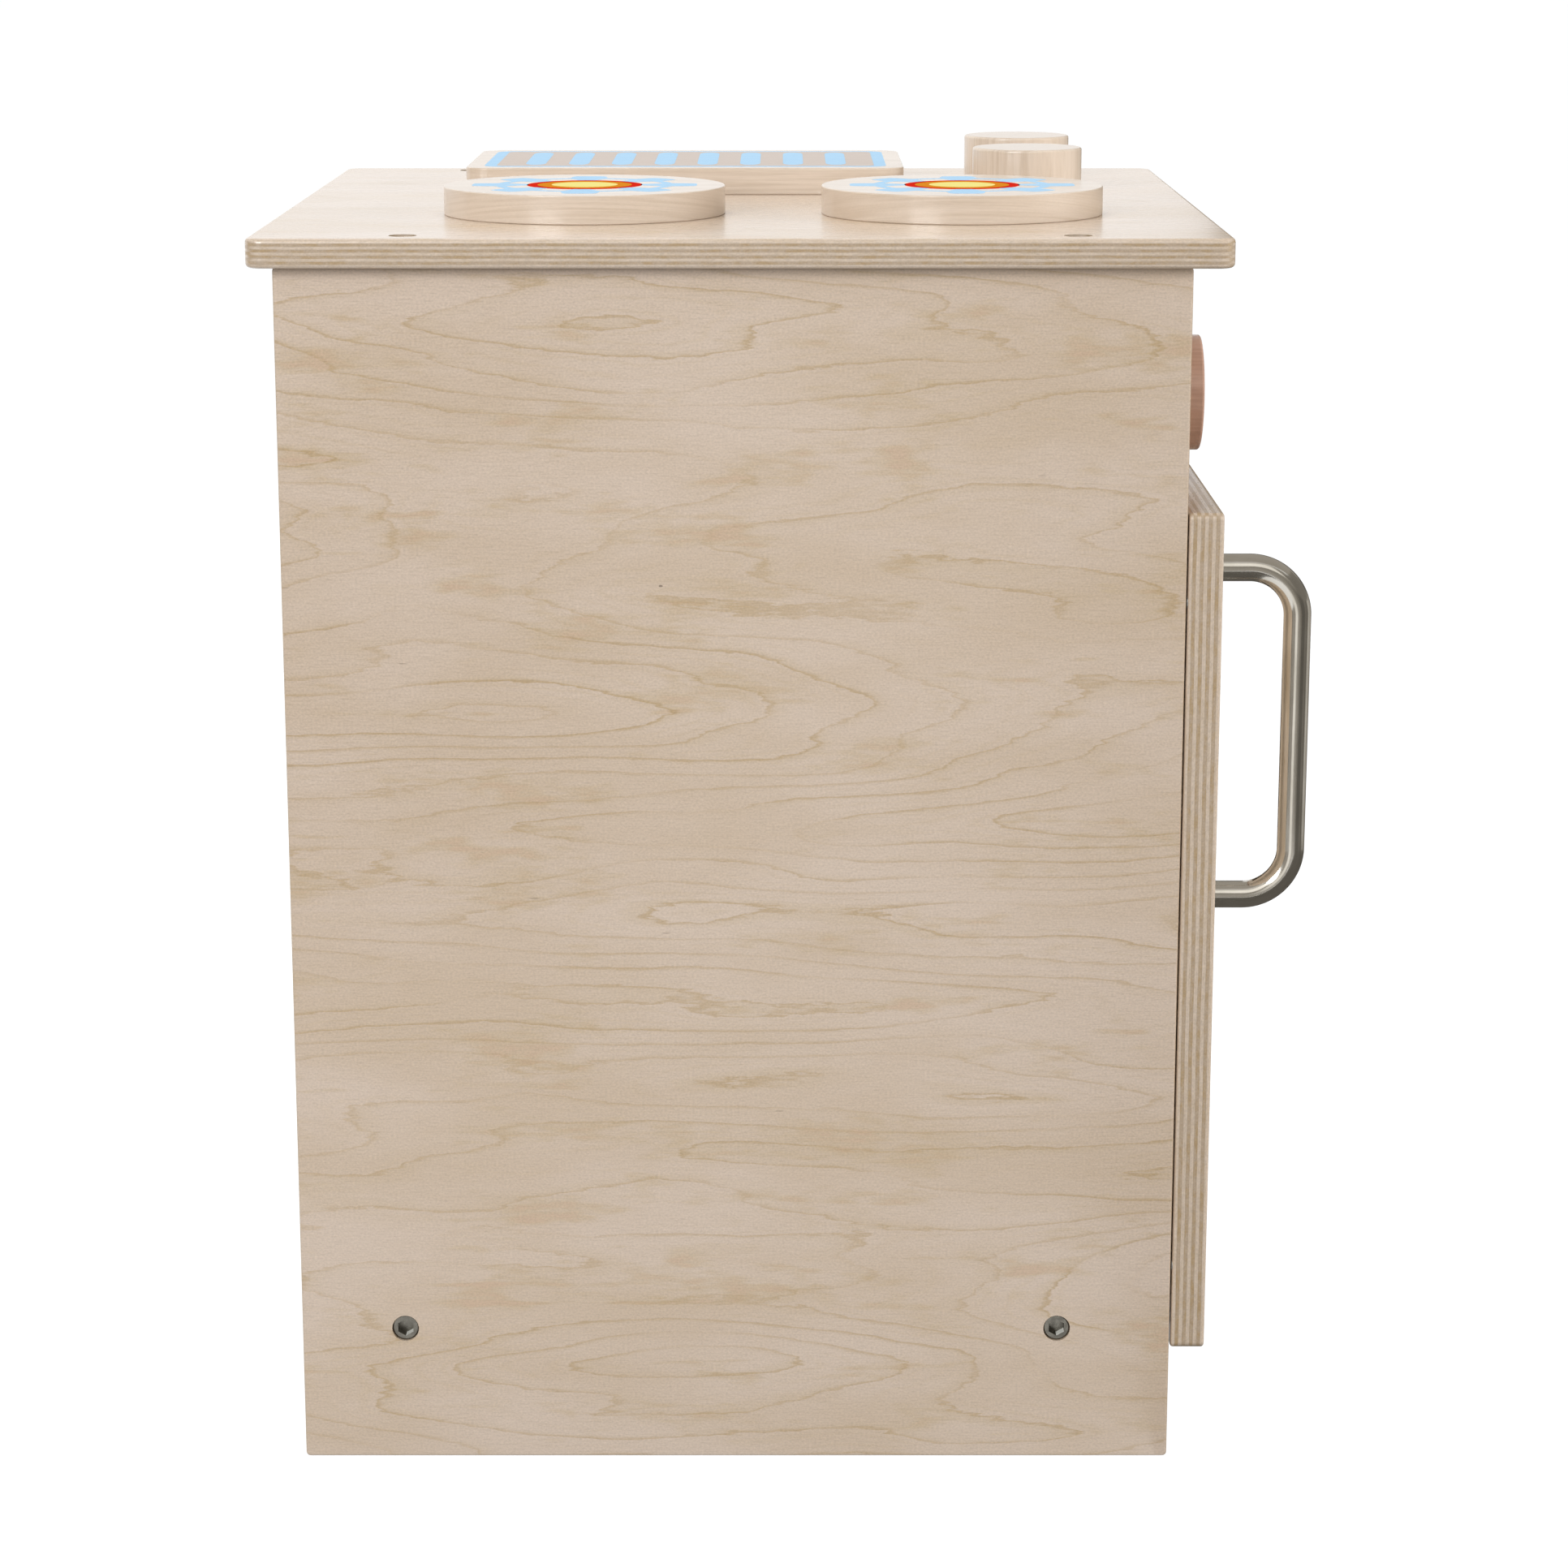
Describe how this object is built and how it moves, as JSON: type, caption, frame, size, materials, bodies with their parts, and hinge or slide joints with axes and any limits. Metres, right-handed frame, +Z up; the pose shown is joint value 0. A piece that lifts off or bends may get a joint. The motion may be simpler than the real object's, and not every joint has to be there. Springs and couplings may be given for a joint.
{
  "type": "toy oven",
  "caption": "Free-standing toy oven in birch plywood, with a side-hung door on a continuous hinge, a windowed oven with a rack, a hob with burner and griddle plates, and turning knobs.",
  "frame": {"origin": "bottom centre of the whole, midway between the handle's grip and the countertop's rear edge, on the floor", "axes": "+Z up, the door and the front knobs face -Y, and the door's hinge is on the +X side"},
  "size_m": [0.42, 0.4714, 0.5861],
  "materials": {
    "birch_ply": "clear matt lacquer",
    "birch_plate": "clear matt lacquer with a print on top",
    "turned_birch": "clear matt lacquer",
    "stained_birch": "rosy brown stain under matt lacquer",
    "stainless": "polished stainless rod",
    "steel": "zinc plated",
    "dark_nickel": "dark nickel plated",
    "brass": "plain brass",
    "nylon": "natural nylon",
    "acrylic": "clear acrylic"
  },
  "bodies": {
    "cabinet": {"left_side_panel": "birch_ply", "right_side_panel": "birch_ply", "bottom_board": "birch_ply", "ceiling_board": "birch_ply", "back_board": "birch_ply", "control_board": "birch_ply", "countertop": "birch_ply", "back_burner_plate": "birch_plate", "front_burner_plate": "birch_plate", "griddle_plate": "birch_plate", "plate_screws": "steel", "back_screws": "steel", "connector_bolts": "dark_nickel", "barrel_nuts": "brass", "dowels": "birch_plate", "knob_washers": "nylon", "oven_rack": "birch_ply", "rack_pins": "steel", "door_magnets": "steel", "hinge_fixed_leaf": "steel", "hinge_pin": "steel", "hinge_frame_screws": "steel"},
    "door": {"door_panel": "birch_ply", "window_pane": "acrylic", "window_screws": "steel", "door_handle": "stainless", "handle_screws": "steel", "hinge_door_leaf": "steel", "hinge_door_screws": "steel", "strike_discs": "steel"},
    "left_front_knob": {"left_front_knob": "stained_birch", "left_front_knob_insert": "brass", "left_front_knob_bolt": "steel"},
    "middle_front_knob": {"middle_front_knob": "stained_birch", "middle_front_knob_insert": "brass", "middle_front_knob_bolt": "steel"},
    "right_front_knob": {"right_front_knob": "stained_birch", "right_front_knob_insert": "brass", "right_front_knob_bolt": "steel"},
    "left_top_knob": {"left_top_knob": "turned_birch", "left_top_knob_insert": "brass", "left_top_knob_bolt": "steel"},
    "right_top_knob": {"right_top_knob": "turned_birch", "right_top_knob_insert": "brass", "right_top_knob_bolt": "steel"}
  },
  "joints": [
    {"name": "door_hinge", "type": "hinge", "parent": "cabinet", "child": "door", "pos_m": [0.2025, -0.17567, 0.2476], "axis": [0, 0, 1], "range_deg": [0, 180]},
    {"name": "left_front_knob_turn", "type": "hinge", "parent": "cabinet", "child": "left_front_knob", "pos_m": [-0.08, -0.16933, 0.4811], "axis": [0, -1, 0], "continuous": true},
    {"name": "middle_front_knob_turn", "type": "hinge", "parent": "cabinet", "child": "middle_front_knob", "pos_m": [0, -0.16933, 0.4811], "axis": [0, -1, 0], "continuous": true},
    {"name": "right_front_knob_turn", "type": "hinge", "parent": "cabinet", "child": "right_front_knob", "pos_m": [0.08, -0.16933, 0.4811], "axis": [0, -1, 0], "continuous": true},
    {"name": "left_top_knob_turn", "type": "hinge", "parent": "cabinet", "child": "left_top_knob", "pos_m": [0.047, -0.11732, 0.564], "axis": [0, 0, 1], "continuous": true},
    {"name": "right_top_knob_turn", "type": "hinge", "parent": "cabinet", "child": "right_top_knob", "pos_m": [0.139, -0.11732, 0.564], "axis": [0, 0, 1], "continuous": true}
  ]
}
